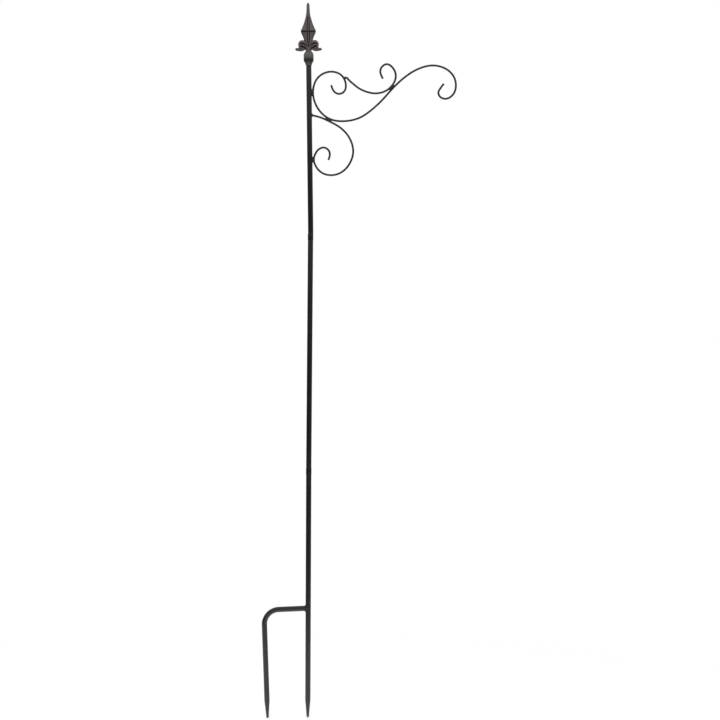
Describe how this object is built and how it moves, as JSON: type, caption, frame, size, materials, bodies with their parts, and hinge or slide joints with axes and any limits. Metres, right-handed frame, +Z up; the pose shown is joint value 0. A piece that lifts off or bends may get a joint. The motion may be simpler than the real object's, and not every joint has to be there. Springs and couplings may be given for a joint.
{
  "type": "garden lantern hook",
  "caption": "Take-apart garden stake with a scrolled lantern hook arm, a leaf-and-spear finial, turned couplers and a bent side prong with a step bar.",
  "frame": {"origin": "on the bottom section's axis at the ground line, just under the step bar where it meets the pole", "axes": "+Z up along the bottom section, +X from the pole towards the hook arm, +Y away from the viewer of the picture"},
  "size_m": [0.5765, 0.0302, 2.1374],
  "materials": {
    "tube_coat": "satin black powder coat on drawn steel tube",
    "rod_coat": "satin black powder coat on round steel rod",
    "coupler_coat": "satin black powder coat on turned steel",
    "casting_coat": "matt brown-black coat on a rough casting",
    "weld_coat": "matt black coat over weld beads"
  },
  "bodies": {
    "stake": {"lower_pole": "tube_coat", "side_prong": "tube_coat", "prong_weld": "weld_coat"},
    "lower_joint": {"lower_coupler": "coupler_coat"},
    "middle_section": {"middle_pole": "tube_coat"},
    "upper_joint": {"upper_coupler": "coupler_coat"},
    "hook_section": {"upper_pole": "tube_coat", "finial": "casting_coat", "hook_scroll": "rod_coat", "accent_scroll": "rod_coat", "bracket_scroll": "rod_coat", "hook_pole_weld": "weld_coat", "curl_pole_weld": "weld_coat", "bracket_hook_weld": "weld_coat", "accent_hook_weld": "weld_coat", "accent_end_weld": "weld_coat", "bracket_pole_weld": "weld_coat"}
  },
  "joints": [
    {"name": "lower_lift", "type": "slide", "parent": "stake", "child": "lower_joint", "axis": [0, 0, 1], "range_m": [0, 0.06]},
    {"name": "middle_turn", "type": "hinge", "parent": "lower_joint", "child": "middle_section", "pos_m": [0, 0, 0.4482], "axis": [0.0038, 0, 1], "continuous": true},
    {"name": "upper_lift", "type": "slide", "parent": "middle_section", "child": "upper_joint", "axis": [0.0038, 0, 1], "range_m": [0, 0.06]},
    {"name": "upper_turn", "type": "hinge", "parent": "upper_joint", "child": "hook_section", "pos_m": [0.00269, 0, 1.14895], "axis": [-0.0157, 0, 0.9999], "continuous": true}
  ]
}
